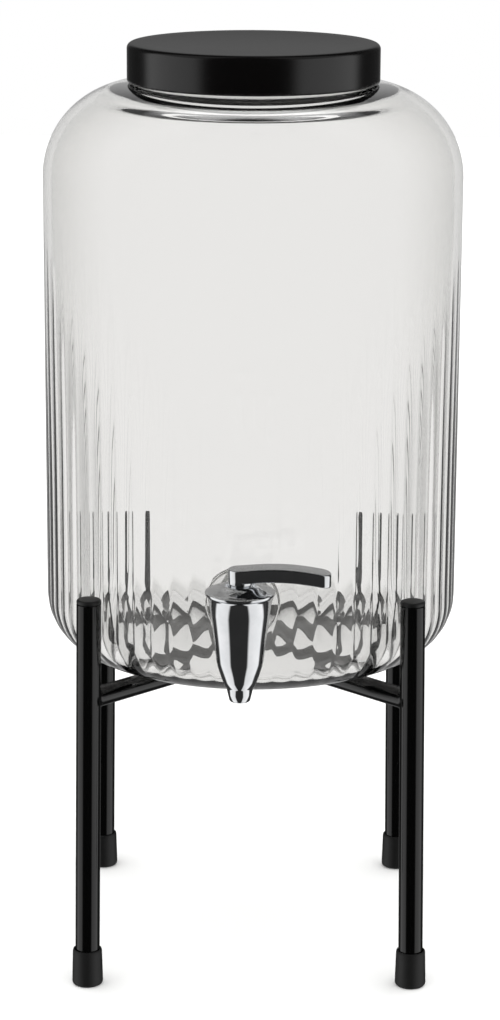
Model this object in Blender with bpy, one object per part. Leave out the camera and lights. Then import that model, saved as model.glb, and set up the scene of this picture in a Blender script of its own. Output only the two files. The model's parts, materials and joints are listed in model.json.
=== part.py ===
"""Glass drink dispenser on a four-legged tube stand, with a screw lid and a quarter-turn tap.

Metres, +Z up, the front towards -Y. The floor is Z = 0, and the origin is under the middle of
the whole object, so the jar's own axis stands a little behind it to make room for the tap.
"""

from math import cos, hypot, pi, radians, sin, sqrt, tau

import bmesh
import bpy
from mathutils import Vector

GAP = 0.0003  # between any two pieces that touch

# Jar
JAR_RADIUS = 0.1026
JAR_WALL = 0.0042
JAR_BODY_HEIGHT = 0.2831  # from the base to the top of the shoulder
JAR_FLOOR = 0.0075
SHOULDER_RADIUS = 0.045
HEEL_RADIUS = 0.0287
PUNT_HEIGHT = 0.0035
BASE_RING_WIDTH = 0.012
NECK_RADIUS = 0.0556
NECK_HEIGHT = 0.0136  # from the shoulder to the rim
NECK_WALL = 0.005
NECK_FILLET = 0.0015
NECK_INNER_ROUND = 0.003
RIM_ROUND = 0.0015
JAR_TURN = radians(-2.2)  # the jar stands turned a little on its stand, tap to the left
RIB_COUNT = 64
RIB_DEPTH = 0.0008
RIB_FADE = 0.008
RIB_TOP_MARGIN = 0.006

# Screw thread: four starts, right-handed
THREAD_STARTS = 4
THREAD_LEAD = 0.024
THREAD_HEIGHT = 0.0016
RIDGE_SPAN = radians(100)
RIDGE_WIDTH = 0.0024
RIDGE_START = 0.0048  # above the shoulder, to the middle of the ridge's low end
RIDGE_ROOT = 0.001  # how deep a ridge is set into the neck
THREAD_STEPS = 14
LUG_STEPS = 8
LUG_SPAN = radians(45)
LUG_OFFSET = radians(30)
LUG_WIDTH = 0.002
THREAD_CLEARANCE = 0.0005

# Lid
LID_GAP = 0.0008  # between the lid's edge and the shoulder
LID_WALL = 0.0012
LID_ROUND = 0.0024
LID_HEM = 0.0009
INSERT_WALL = 0.0022
INSERT_TOP = 0.0019
SEAL_THICKNESS = 0.0018
SEAL_WIDTH = 0.0054

# Stand
BRACE_HEIGHT = 0.1472  # floor to the middle of the brace
BRACE_RADIUS = 0.005
LEG_RADIUS = 0.006
LEG_WALL = 0.0012
LEG_HEIGHT = 0.1975
LEG_JAR_GAP = 0.0013
LEG_SPLAY = 0.0023  # outwards along X and along Y, from the leg's top to the floor
CAP_THICKNESS = 0.002
CAP_STEM = 0.008
FOOT_WALL = 0.0013
FOOT_HEIGHT = 0.0185
FOOT_SOLE = 0.0033
FOOT_SOLE_ROUND = 0.0014
FOOT_LIP_DROP = 0.0012
FOOT_LIP_STEP = 0.0006

# Tap, with heights from the middle of its shank
TAP_ABOVE_BASE = 0.0505
TAP_REACH = 0.025  # from the pad's face to the tap's upright axis
PAD_RADIUS = 0.0175
PAD_PROUD = 0.0004
PAD_BACK_PROUD = 0.0002
HOLE_CLEARANCE = 0.0005
TAP_RIM_RADIUS = 0.0164
TAP_RIM_HEIGHT = 0.012
NOZZLE_DROP = 0.0394
NOZZLE_RADIUS = 0.0049
NOZZLE_STEPS = ((0.0015, 0.0066), (0.0022, 0.0076), (0.0033, 0.0102))  # wider, higher
OUTLET_RADIUS = 0.0036
OUTLET_TAPER = 0.004
CHAMBER_RADIUS = 0.009
CHAMBER_FLOOR = -0.013
BODY_STEPS = ((0.0019, 0.0182), (0.0022, 0.0218), (0.0037, 0.0342))  # past chamber, above nozzle end
BODY_LIP_RADIUS = 0.0156
BODY_LIP_DROP = 0.001
BODY_LIP_STEP = 0.0006
BONNET_SEAT = 0.006
BONNET_BOSS_RADIUS = 0.012
BONNET_EDGE = 0.0015
BONNET_CONE = 0.006
BONNET_STEPS = ((0.0029, 0.23), (0.0059, 0.5), (0.0078, 0.77), (0.0092, 1.0))  # inwards, share up
SHANK_RADIUS = 0.008
SHANK_BORE = 0.0045
SHANK_NECK_RADIUS = 0.0095
SHANK_SPARE = 0.0026  # thread that shows past the nut
FLANGE_RADIUS = 0.0135
FLANGE_THICKNESS = 0.003
FLANGE_ROUND = 0.0008
END_CHAMFER = 0.001
GASKET_THICKNESS = 0.002
WASHER_RADIUS = 0.0125
WASHER_THICKNESS = 0.0012
NUT_FLATS = 0.024
NUT_THICKNESS = 0.006
STEM_RADIUS = 0.0045
STEM_BORE = 0.0053
PLUG_BORE = 0.0055
PLUG_WINDOW = 0.004
PLUG_ROOF = 0.003
PLUG_FOOT_GAP = 0.0012
RING_HEIGHTS = (0.003, 0.007)  # above the bonnet's seat
RING_GROOVE_DEPTH = 0.0013
RING_SQUEEZE_GAP = 0.00025
RING_SIDE_GAP = 0.0004
O_RING_SECTION = 0.00075
LEVER_LENGTH = 0.042  # from the tap's axis to the lever's end
LEVER_WIDTH = 0.0116
LEVER_THICKNESS = 0.0064
LEVER_END_ROUND = 0.0045
LEVER_CUTS = 8
STEM_TOP_DROP = 0.0024
LEVER_ARCH = 0.0014
LEVER_DROOP = 0.0018
LEVER_PIN_RADIUS = 0.0008

# Roundness of the faceted pieces
JAR_SEGMENTS = RIB_COUNT
LID_SEGMENTS = 40
TAP_SEGMENTS = 24
TUBE_SEGMENTS = 16
PIN_SEGMENTS = 12

# Worked out from the sizes above
JAR_BASE = BRACE_HEIGHT + BRACE_RADIUS + GAP
SHOULDER_TOP = JAR_BASE + JAR_BODY_HEIGHT
RIM = SHOULDER_TOP + NECK_HEIGHT
NECK_BORE = NECK_RADIUS - NECK_WALL
SHOULDER = min(SHOULDER_RADIUS, JAR_RADIUS - NECK_RADIUS - NECK_FILLET)
INSERT_BORE = NECK_RADIUS + THREAD_HEIGHT + THREAD_CLEARANCE
INSERT_RADIUS = INSERT_BORE + INSERT_WALL
LID_RADIUS = INSERT_RADIUS + GAP + LID_WALL
LID_BOTTOM = SHOULDER_TOP + LID_GAP
SEAL_BOTTOM = RIM + GAP
INSERT_CEILING = SEAL_BOTTOM + SEAL_THICKNESS + GAP
LID_CEILING = INSERT_CEILING + INSERT_TOP + GAP
LID_TOP = LID_CEILING + LID_WALL
LEG_TOP_OFFSET = (JAR_RADIUS + LEG_JAR_GAP + LEG_RADIUS) / sqrt(2)
LEG_FLOOR_OFFSET = LEG_TOP_OFFSET + LEG_SPLAY
FOOT_RADIUS = LEG_RADIUS + GAP + FOOT_WALL
PAD_FACE = JAR_RADIUS + PAD_PROUD
PAD_BACK = sqrt((JAR_RADIUS - JAR_WALL) ** 2 - PAD_RADIUS**2) - PAD_BACK_PROUD
TAP_OFFSET = PAD_FACE + TAP_REACH
TAP_HEIGHT = JAR_BASE + TAP_ABOVE_BASE
JAR_AXIS_Y = (TAP_OFFSET + TAP_RIM_RADIUS - JAR_RADIUS) / 2
PLUG_RADIUS = CHAMBER_RADIUS - GAP
BONNET_TOP = TAP_RIM_HEIGHT + GAP + BONNET_EDGE + BONNET_CONE
LEVER_BOTTOM = BONNET_TOP + GAP
LEVER_TOP = LEVER_BOTTOM + LEVER_THICKNESS


def finish(name, colour, roughness, metallic=0.0, transmission=0.0):
    """A Principled material in linear colour."""
    material = bpy.data.materials.new(name)
    material.use_nodes = True
    shader = material.node_tree.nodes["Principled BSDF"]
    shader.inputs["Base Color"].default_value = (*colour, 1.0)
    shader.inputs["Roughness"].default_value = roughness
    shader.inputs["Metallic"].default_value = metallic
    shader.inputs["Transmission Weight"].default_value = transmission
    return material


def empty(name, location, parent=None, turn=0.0):
    axis = bpy.data.objects.new(name, None)
    axis.location = location
    axis.rotation_euler.z = turn
    axis.parent = parent
    bpy.context.scene.collection.objects.link(axis)
    return axis


def place(name, mesh, material, parent, location=(0, 0, 0), turn=None):
    piece = bpy.data.objects.new(name, mesh)
    if material and not mesh.materials:
        mesh.materials.append(material)
    piece.parent = parent
    piece.location = location
    if turn is not None:
        piece.rotation_mode = "QUATERNION"
        piece.rotation_quaternion = turn
    bpy.context.scene.collection.objects.link(piece)
    return piece


def mesh_of(name, form):
    """The finished mesh of a bmesh: doubles merged, faces outwards, round faces smooth."""
    bmesh.ops.remove_doubles(form, verts=form.verts, dist=1e-6)
    bmesh.ops.recalc_face_normals(form, faces=form.faces)
    mesh = bpy.data.meshes.new(name)
    form.to_mesh(mesh)
    form.free()
    mesh.shade_smooth()
    mesh.set_sharp_from_angle(angle=radians(35))
    return mesh


def arc(centre, radius, start, end, steps):
    """Points (radius, height) of an arc, by angles in degrees from the outward direction."""
    points = []
    for step in range(steps + 1):
        angle = radians(start + (end - start) * step / steps)
        points.append((centre[0] + radius * cos(angle), centre[1] + radius * sin(angle)))
    return points


def spun(outline, segments):
    """A bmesh turned about Z from a closed outline of (radius, height) points."""
    form = bmesh.new()
    ring = [form.verts.new((radius, 0, height)) for radius, height in outline]
    for first, second in zip(ring, ring[1:] + ring[:1]):
        if first.co.x > 0 or second.co.x > 0:
            form.edges.new((first, second))
    bmesh.ops.spin(
        form,
        geom=form.verts[:] + form.edges[:],
        cent=(0, 0, 0),
        axis=(0, 0, 1),
        dvec=(0, 0, 0),
        angle=tau,
        steps=segments,
        use_merge=True,
    )
    return form


def turned(name, outline, segments):
    return mesh_of(name, spun(outline, segments))


def rod(name, radius, low, high, segments):
    """A plain closed cylinder along Z."""
    return turned(name, [(0, low), (radius, low), (radius, high), (0, high)], segments)


def washer(name, inner, outer, thickness, segments):
    outline = [(inner, 0), (outer, 0), (outer, thickness), (inner, thickness)]
    return turned(name, outline, segments)


def change(piece, tool, operation):
    """A Boolean of the piece with a tool, which is left out of the model."""
    tool.hide_render = True
    tool.display_type = "WIRE"
    modifier = piece.modifiers.new(tool.name, "BOOLEAN")
    modifier.object = tool
    modifier.operation = operation


ALONG_Y = Vector((0, 1, 0)).to_track_quat("Z", "X")


def helix(form, start_angle, span, middle, width, root, crest, steps):
    """A thread ridge from its root radius to its crest, rising with its angle, low at both ends."""
    corners = [
        (root, middle - width / 2),
        (crest, middle - width / 3),
        (crest, middle + width / 3),
        (root, middle + width / 2),
    ]
    rows = []
    for step in range(steps + 1):
        share = step / steps
        angle = start_angle + span * share
        rise = THREAD_LEAD * span * share / tau
        fade = min(1.0, 4 * min(share, 1 - share) + 0.25)
        row = []
        for radius, height in corners:
            reach = root + (radius - root) * fade
            row.append(form.verts.new((reach * cos(angle), reach * sin(angle), height + rise)))
        rows.append(row)
    for row, following in zip(rows, rows[1:]):
        for k in range(4):
            after = (k + 1) % 4
            form.faces.new((row[k], row[after], following[after], following[k]))
    form.faces.new(rows[0])
    form.faces.new(rows[-1])


def rib_jar(form):
    """Cuts the ribs: the wall's edges are halved, and each new point sinks into a groove."""
    low = JAR_BASE + HEEL_RADIUS
    high = SHOULDER_TOP - SHOULDER - RIB_TOP_MARGIN
    levels = (low + RIB_FADE, high - RIB_FADE)
    edges = [
        edge
        for edge in form.edges
        if all(hypot(v.co.x, v.co.y) > JAR_RADIUS - 1e-5 for v in edge.verts)
        and abs(edge.verts[0].co.z - edge.verts[1].co.z) < 1e-6
        and min(abs(edge.verts[0].co.z - level) for level in levels) < 1e-6
    ]
    made = bmesh.ops.subdivide_edges(form, edges=edges, cuts=1, use_grid_fill=True)
    for vert in made["geom_inner"]:
        if isinstance(vert, bmesh.types.BMVert):
            across = hypot(vert.co.x, vert.co.y)
            vert.co.x *= (JAR_RADIUS - RIB_DEPTH) / across
            vert.co.y *= (JAR_RADIUS - RIB_DEPTH) / across
    bmesh.ops.triangulate(form, faces=form.faces[:])


def make_jar(material, parent):
    base_radius = JAR_RADIUS - HEEL_RADIUS
    punt_radius = base_radius - BASE_RING_WIDTH
    wall_low = JAR_BASE + HEEL_RADIUS
    wall_high = SHOULDER_TOP - SHOULDER
    rib_low = wall_low + RIB_FADE
    rib_high = wall_high - RIB_TOP_MARGIN - RIB_FADE
    heel_inner = HEEL_RADIUS - JAR_WALL
    inner_floor = JAR_BASE + JAR_FLOOR
    inner_top = SHOULDER_TOP - JAR_WALL
    centre = (JAR_RADIUS - SHOULDER, SHOULDER_TOP - SHOULDER)
    neck_foot = (NECK_RADIUS + NECK_FILLET, SHOULDER_TOP + NECK_FILLET)
    bore_foot = (NECK_BORE + NECK_INNER_ROUND, inner_top + NECK_INNER_ROUND)
    outline = [
        (0, JAR_BASE + PUNT_HEIGHT),
        (punt_radius * 0.6, JAR_BASE + PUNT_HEIGHT * 0.85),
        (punt_radius, JAR_BASE + PUNT_HEIGHT * 0.2),
        (punt_radius + PUNT_HEIGHT, JAR_BASE),
        *arc((base_radius, JAR_BASE + HEEL_RADIUS), HEEL_RADIUS, -90, 0, 6),
        (JAR_RADIUS, rib_low),
        (JAR_RADIUS, rib_high),
        *arc(centre, SHOULDER, 0, 90, 8),
        *arc(neck_foot, NECK_FILLET, -90, -180, 2),
        *arc((NECK_RADIUS - RIM_ROUND, RIM - RIM_ROUND), RIM_ROUND, 0, 90, 2),
        *arc((NECK_BORE + RIM_ROUND, RIM - RIM_ROUND), RIM_ROUND, 90, 180, 2),
        *arc(bore_foot, NECK_INNER_ROUND, 180, 270, 2),
        *arc(centre, SHOULDER - JAR_WALL, 90, 0, 6),
        *arc((JAR_RADIUS - JAR_WALL - heel_inner, inner_floor + heel_inner), heel_inner, 0, -90, 4),
        (0, inner_floor),
    ]
    form = spun(outline, JAR_SEGMENTS)
    bmesh.ops.remove_doubles(form, verts=form.verts, dist=1e-6)
    rib_jar(form)
    jar = place("glass_jar", mesh_of("glass_jar", form), material, parent)

    ridges = bmesh.new()
    for start in range(THREAD_STARTS):
        helix(
            ridges,
            tau * start / THREAD_STARTS,
            RIDGE_SPAN,
            SHOULDER_TOP + RIDGE_START,
            RIDGE_WIDTH,
            NECK_RADIUS - RIDGE_ROOT,
            NECK_RADIUS + THREAD_HEIGHT,
            THREAD_STEPS,
        )
    change(jar, place("neck_ridges", mesh_of("neck_ridges", ridges), material, parent), "UNION")

    at = (0, 0, TAP_HEIGHT)
    pad = rod("tap_pad", PAD_RADIUS, -PAD_FACE, -PAD_BACK, TAP_SEGMENTS)
    change(jar, place("tap_pad", pad, material, parent, at, ALONG_Y), "UNION")
    bore = SHANK_RADIUS + HOLE_CLEARANCE
    hole = rod("tap_hole", bore, -PAD_FACE - JAR_WALL, -PAD_BACK + JAR_WALL, TAP_SEGMENTS)
    change(jar, place("tap_hole", hole, material, parent, at, ALONG_Y), "DIFFERENCE")
    return jar


def make_lid(metal, plastic, rubber, lid_axis, seal_axis):
    hem = LID_WALL + LID_HEM
    shell = [
        (LID_RADIUS - LID_WALL, LID_BOTTOM + hem),
        (LID_RADIUS - LID_WALL, LID_BOTTOM + LID_WALL / 2),
        (LID_RADIUS - LID_WALL / 2, LID_BOTTOM),
        (LID_RADIUS, LID_BOTTOM + LID_WALL / 2),
        *arc((LID_RADIUS - LID_ROUND, LID_TOP - LID_ROUND), LID_ROUND, 0, 90, 4),
        (0, LID_TOP),
        (0, LID_CEILING),
        *arc((LID_RADIUS - LID_ROUND, LID_TOP - LID_ROUND), LID_ROUND - LID_WALL, 90, 0, 2),
    ]
    place("lid_shell", turned("lid_shell", shell, LID_SEGMENTS), metal, lid_axis)

    foot = LID_BOTTOM + hem
    corner = INSERT_CEILING + INSERT_TOP
    insert = [
        (INSERT_BORE, foot),
        (INSERT_RADIUS, foot),
        (INSERT_RADIUS, corner - LID_ROUND + LID_WALL),
        (INSERT_RADIUS - LID_ROUND + LID_WALL, corner),
        (0, corner),
        (0, INSERT_CEILING),
        (INSERT_BORE, INSERT_CEILING),
    ]
    cup = place("lid_insert", turned("lid_insert", insert, LID_SEGMENTS), plastic, lid_axis)
    lugs = bmesh.new()
    below = RIDGE_WIDTH / 2 + GAP + LUG_WIDTH / 2
    for start in range(THREAD_STARTS):
        helix(
            lugs,
            tau * start / THREAD_STARTS + LUG_OFFSET,
            LUG_SPAN,
            SHOULDER_TOP + RIDGE_START + THREAD_LEAD * LUG_OFFSET / tau - below,
            LUG_WIDTH,
            INSERT_BORE + INSERT_WALL / 2,
            NECK_RADIUS + THREAD_CLEARANCE,
            LUG_STEPS,
        )
    change(cup, place("insert_lugs", mesh_of("insert_lugs", lugs), plastic, lid_axis), "UNION")

    seal = washer("lid_seal", NECK_RADIUS - SEAL_WIDTH, NECK_RADIUS, SEAL_THICKNESS, LID_SEGMENTS)
    place("lid_seal", seal, rubber, seal_axis, (0, 0, SEAL_BOTTOM))


def leg_offset(height):
    """How far a leg's middle line is from the jar's axis along X, and along Y."""
    return LEG_FLOOR_OFFSET - LEG_SPLAY * height / LEG_HEIGHT


def make_legs(steel, plastic, rubber, parent):
    tube = [
        (LEG_RADIUS - LEG_WALL, FOOT_SOLE + GAP),
        (LEG_RADIUS, FOOT_SOLE + GAP),
        (LEG_RADIUS, LEG_HEIGHT - CAP_THICKNESS - GAP),
        (LEG_RADIUS - LEG_WALL, LEG_HEIGHT - CAP_THICKNESS - GAP),
    ]
    stem = LEG_RADIUS - LEG_WALL - GAP
    cap = [
        (0, LEG_HEIGHT - CAP_THICKNESS - CAP_STEM),
        (stem, LEG_HEIGHT - CAP_THICKNESS - CAP_STEM),
        (stem, LEG_HEIGHT - CAP_THICKNESS),
        (LEG_RADIUS, LEG_HEIGHT - CAP_THICKNESS),
        (LEG_RADIUS, LEG_HEIGHT - CAP_THICKNESS / 2),
        (LEG_RADIUS - CAP_THICKNESS / 2, LEG_HEIGHT),
        (0, LEG_HEIGHT),
    ]
    socket = LEG_RADIUS + GAP
    foot = [
        (0, 0),
        (FOOT_RADIUS - FOOT_SOLE_ROUND, 0),
        (FOOT_RADIUS, FOOT_SOLE_ROUND),
        (FOOT_RADIUS, FOOT_HEIGHT - FOOT_LIP_DROP),
        (FOOT_RADIUS - FOOT_LIP_STEP, FOOT_HEIGHT),
        (socket, FOOT_HEIGHT),
        (socket, FOOT_SOLE),
        (0, FOOT_SOLE),
    ]
    meshes = {
        "leg": (turned("leg", tube, TUBE_SEGMENTS), steel),
        "cap": (turned("cap", cap, TUBE_SEGMENTS), plastic),
    }
    foot_mesh = turned("foot", foot, TUBE_SEGMENTS)
    cutter_mesh = rod("leg_cutter", LEG_RADIUS + GAP, 0, LEG_HEIGHT, TUBE_SEGMENTS)
    cutters = {}
    for row, along in (("front", -1), ("rear", 1)):
        for side, across in (("left", -1), ("right", 1)):
            place_name = f"{row}_{side}"
            lean = Vector((-across * LEG_SPLAY, -along * LEG_SPLAY, LEG_HEIGHT))
            turn = lean.to_track_quat("Z", "Y")
            at_floor = (across * LEG_FLOOR_OFFSET, along * LEG_FLOOR_OFFSET, 0)
            for kind, (mesh, material) in meshes.items():
                place(f"{kind}_{place_name}", mesh, material, parent, at_floor, turn)
            middle = leg_offset((FOOT_SOLE + FOOT_HEIGHT) / 2)
            foot_at = (across * middle, along * middle, 0)
            place(f"foot_{place_name}", foot_mesh, rubber, parent, foot_at)
            cutters[place_name] = place(
                f"cutter_{place_name}", cutter_mesh, None, parent, at_floor, turn
            )
    return cutters


def make_braces(steel, parent, cutters):
    """One rod from leg to leg, and two half rods that meet it in the middle, all at one height."""
    reach = leg_offset(BRACE_HEIGHT) * sqrt(2)
    at = (0, 0, BRACE_HEIGHT)
    toward_rear_right = Vector((1, 1, 0)).to_track_quat("Z", "X")
    toward_front_right = Vector((1, -1, 0)).to_track_quat("Z", "X")
    toward_rear_left = Vector((-1, 1, 0)).to_track_quat("Z", "X")
    long_rod = rod("brace_long", BRACE_RADIUS, -reach, reach, TUBE_SEGMENTS)
    half_rod = rod("brace_half", BRACE_RADIUS, 0, reach, TUBE_SEGMENTS)
    middle_cut = rod("middle_cut", BRACE_RADIUS + GAP, -reach, reach, TUBE_SEGMENTS)
    long_brace = place("brace_long", long_rod, steel, parent, at, toward_rear_right)
    front_half = place("brace_half_front", half_rod, steel, parent, at, toward_front_right)
    rear_half = place("brace_half_rear", half_rod, steel, parent, at, toward_rear_left)
    middle = place("middle_cut", middle_cut, None, parent, at, toward_rear_right)
    change(long_brace, cutters["front_left"], "DIFFERENCE")
    change(long_brace, cutters["rear_right"], "DIFFERENCE")
    change(front_half, cutters["front_right"], "DIFFERENCE")
    change(front_half, middle, "DIFFERENCE")
    change(rear_half, cutters["rear_left"], "DIFFERENCE")
    change(rear_half, middle, "DIFFERENCE")


def make_tap_body(chrome, tap_axis):
    nozzle = -NOZZLE_DROP
    outside = [(0, nozzle), (NOZZLE_RADIUS, nozzle)]
    outside += [(NOZZLE_RADIUS + wider, nozzle + higher) for wider, higher in NOZZLE_STEPS]
    outside += [(CHAMBER_RADIUS + wider, nozzle + higher) for wider, higher in BODY_STEPS]
    outside += [
        (BODY_LIP_RADIUS - BODY_LIP_STEP, TAP_RIM_HEIGHT - BODY_LIP_DROP),
        (BODY_LIP_RADIUS, TAP_RIM_HEIGHT),
        (0, TAP_RIM_HEIGHT),
    ]
    boss_bore = BONNET_BOSS_RADIUS + GAP
    inside = [
        (0, nozzle - OUTLET_TAPER),
        (OUTLET_RADIUS, nozzle - OUTLET_TAPER),
        (OUTLET_RADIUS, CHAMBER_FLOOR - OUTLET_TAPER),
        (CHAMBER_RADIUS, CHAMBER_FLOOR),
        (CHAMBER_RADIUS, BONNET_SEAT),
        (boss_bore, BONNET_SEAT),
        (boss_bore, TAP_RIM_HEIGHT + BODY_LIP_DROP),
        (0, TAP_RIM_HEIGHT + BODY_LIP_DROP),
    ]
    flange_back = TAP_REACH - GAP - GASKET_THICKNESS - GAP
    flange_front = flange_back - FLANGE_THICKNESS
    shank_end = nut_start() + NUT_THICKNESS + SHANK_SPARE
    shank = [
        (0, CHAMBER_RADIUS / 2),
        (SHANK_NECK_RADIUS, CHAMBER_RADIUS / 2),
        (SHANK_NECK_RADIUS, flange_front - END_CHAMFER),
        (SHANK_NECK_RADIUS + END_CHAMFER, flange_front),
        (FLANGE_RADIUS - FLANGE_ROUND, flange_front),
        (FLANGE_RADIUS, flange_front + FLANGE_ROUND),
        (FLANGE_RADIUS, flange_back),
        (SHANK_RADIUS, flange_back),
        (SHANK_RADIUS, shank_end - END_CHAMFER),
        (SHANK_RADIUS - END_CHAMFER, shank_end),
        (0, shank_end),
    ]
    body = place("tap_body", turned("tap_body", outside, TAP_SEGMENTS), chrome, tap_axis)
    stub = turned("tap_shank", shank, TAP_SEGMENTS)
    change(body, place("tap_shank", stub, chrome, tap_axis, turn=ALONG_Y), "UNION")
    chamber = turned("tap_chamber", inside, TAP_SEGMENTS)
    change(body, place("tap_chamber", chamber, None, tap_axis), "DIFFERENCE")
    bore = rod("shank_bore", SHANK_BORE, 0, shank_end + END_CHAMFER, TAP_SEGMENTS)
    change(body, place("shank_bore", bore, None, tap_axis, turn=ALONG_Y), "DIFFERENCE")


def gasket_start():
    """The inner gasket's near face, from the tap's axis along its shank."""
    return TAP_OFFSET - PAD_BACK + GAP


def nut_start():
    return gasket_start() + GASKET_THICKNESS + GAP + WASHER_THICKNESS + GAP


def make_tap_fixings(plastic, rubber, tap_axis):
    hole = SHANK_RADIUS + GAP
    gasket = washer("tap_gasket", hole, FLANGE_RADIUS, GASKET_THICKNESS, TAP_SEGMENTS)
    outer_at = (0, TAP_REACH - GAP - GASKET_THICKNESS, 0)
    inner_at = (0, gasket_start(), 0)
    place("tap_gasket_outer", gasket, rubber, tap_axis, outer_at, ALONG_Y)
    place("tap_gasket_inner", gasket, rubber, tap_axis, inner_at, ALONG_Y)
    ring = washer("tap_washer", hole, WASHER_RADIUS, WASHER_THICKNESS, TAP_SEGMENTS)
    ring_at = (0, gasket_start() + GASKET_THICKNESS + GAP, 0)
    place("tap_washer", ring, plastic, tap_axis, ring_at, ALONG_Y)

    form = bmesh.new()
    bmesh.ops.create_cone(
        form,
        cap_ends=True,
        segments=6,
        radius1=NUT_FLATS / sqrt(3),
        radius2=NUT_FLATS / sqrt(3),
        depth=NUT_THICKNESS,
    )
    nut_at = (0, nut_start() + NUT_THICKNESS / 2, 0)
    nut = place("tap_nut", mesh_of("tap_nut", form), plastic, tap_axis, nut_at, ALONG_Y)
    bore = rod("nut_bore", hole, -NUT_THICKNESS, NUT_THICKNESS, TAP_SEGMENTS)
    change(nut, place("nut_bore", bore, None, tap_axis, nut_at, ALONG_Y), "DIFFERENCE")


def make_bonnet(chrome, tap_axis):
    edge = TAP_RIM_HEIGHT + GAP
    cone = edge + BONNET_EDGE
    break_edge = BONNET_EDGE / 4
    outline = [
        (STEM_BORE, BONNET_SEAT + GAP),
        (BONNET_BOSS_RADIUS, BONNET_SEAT + GAP),
        (BONNET_BOSS_RADIUS, edge),
        (TAP_RIM_RADIUS - break_edge, edge),
        (TAP_RIM_RADIUS, edge + break_edge),
        (TAP_RIM_RADIUS, cone - break_edge),
    ]
    outline += [(TAP_RIM_RADIUS - inwards, cone + BONNET_CONE * up) for inwards, up in BONNET_STEPS]
    outline.append((STEM_BORE, BONNET_TOP))
    place("tap_bonnet", turned("tap_bonnet", outline, TAP_SEGMENTS), chrome, tap_axis)


def make_plug(plastic, rubber, valve_axis):
    """The hollow plug, open below, whose side window meets the shank when the lever is forward."""
    bottom = CHAMBER_FLOOR + PLUG_FOOT_GAP
    top = BONNET_SEAT
    stem_top = LEVER_TOP - STEM_TOP_DROP
    groove = STEM_RADIUS - RING_GROOVE_DEPTH
    slot = O_RING_SECTION + RING_SIDE_GAP
    outline = [
        (PLUG_BORE, bottom),
        (PLUG_RADIUS, bottom),
        (PLUG_RADIUS, top),
        (STEM_RADIUS, top),
    ]
    for height in RING_HEIGHTS:
        middle = BONNET_SEAT + height
        outline += [
            (STEM_RADIUS, middle - slot),
            (groove, middle - slot),
            (groove, middle + slot),
            (STEM_RADIUS, middle + slot),
        ]
    outline += [
        (STEM_RADIUS, stem_top),
        (0, stem_top),
        (0, top - PLUG_ROOF),
        (PLUG_BORE, top - PLUG_ROOF),
    ]
    plug = place("tap_plug", turned("tap_plug", outline, TAP_SEGMENTS), plastic, valve_axis)
    window = rod("plug_window", PLUG_WINDOW, 0, CHAMBER_RADIUS + GAP, TAP_SEGMENTS)
    toward_left = Vector((-1, 0, 0)).to_track_quat("Z", "X")
    change(plug, place("plug_window", window, None, valve_axis, turn=toward_left), "DIFFERENCE")

    section = arc((groove + RING_SQUEEZE_GAP + O_RING_SECTION, 0), O_RING_SECTION, 0, 360, 6)[:-1]
    ring = turned("o_ring", section, TAP_SEGMENTS)
    for name, height in zip(("plug_o_ring_lower", "plug_o_ring_upper"), RING_HEIGHTS):
        place(name, ring, rubber, valve_axis, (0, 0, BONNET_SEAT + height))
    return plug, stem_top


def make_lever(chrome, steel, valve_axis, plug, stem_top):
    """A flat arched bar on a round hub, pinned to the plug's stem."""
    form = bmesh.new()
    bmesh.ops.create_cube(form, size=1.0)
    bmesh.ops.scale(form, vec=(LEVER_LENGTH, LEVER_WIDTH, LEVER_THICKNESS), verts=form.verts)
    middle = (LEVER_LENGTH / 2, 0, (LEVER_BOTTOM + LEVER_TOP) / 2)
    bmesh.ops.translate(form, vec=middle, verts=form.verts)
    corners = [
        edge
        for edge in form.edges
        if all(vert.co.x > LEVER_LENGTH / 2 for vert in edge.verts)
        and abs(edge.verts[0].co.z - edge.verts[1].co.z) > 1e-6
    ]
    bmesh.ops.bevel(
        form,
        geom=corners,
        offset=LEVER_END_ROUND,
        segments=3,
        profile=0.5,
        affect="EDGES",
        material=-1,
    )
    for step in range(1, LEVER_CUTS):
        bmesh.ops.bisect_plane(
            form,
            geom=form.verts[:] + form.edges[:] + form.faces[:],
            plane_co=(LEVER_LENGTH * step / (LEVER_CUTS + 1), 0, 0),
            plane_no=(1, 0, 0),
        )
    for vert in form.verts:
        share = vert.co.x / LEVER_LENGTH
        vert.co.z += LEVER_ARCH * sin(pi * share) - LEVER_DROOP * share**2
    bar = mesh_of("tap_lever", form)
    lever = place("tap_lever", bar, chrome, valve_axis)
    hub = rod("lever_hub", LEVER_WIDTH / 2, LEVER_BOTTOM, LEVER_TOP, TAP_SEGMENTS)
    change(lever, place("lever_hub", hub, chrome, valve_axis), "UNION")
    socket_low = LEVER_BOTTOM - LEVER_ARCH
    socket = rod("lever_socket", STEM_RADIUS + GAP, socket_low, stem_top + GAP, TAP_SEGMENTS)
    change(lever, place("lever_socket", socket, None, valve_axis), "DIFFERENCE")
    pin_at = (0, 0, (LEVER_BOTTOM + stem_top) / 2)
    reach = LEVER_WIDTH / 2
    past = reach + STEM_RADIUS
    hole = rod("pin_hole", LEVER_PIN_RADIUS + GAP, -past, past, PIN_SEGMENTS)
    cutter = place("pin_hole", hole, None, valve_axis, pin_at, ALONG_Y)
    change(lever, cutter, "DIFFERENCE")
    change(plug, cutter, "DIFFERENCE")
    pin = rod("lever_pin", LEVER_PIN_RADIUS, -reach + GAP, reach - GAP, PIN_SEGMENTS)
    place("lever_pin", pin, steel, valve_axis, pin_at, ALONG_Y)


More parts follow.
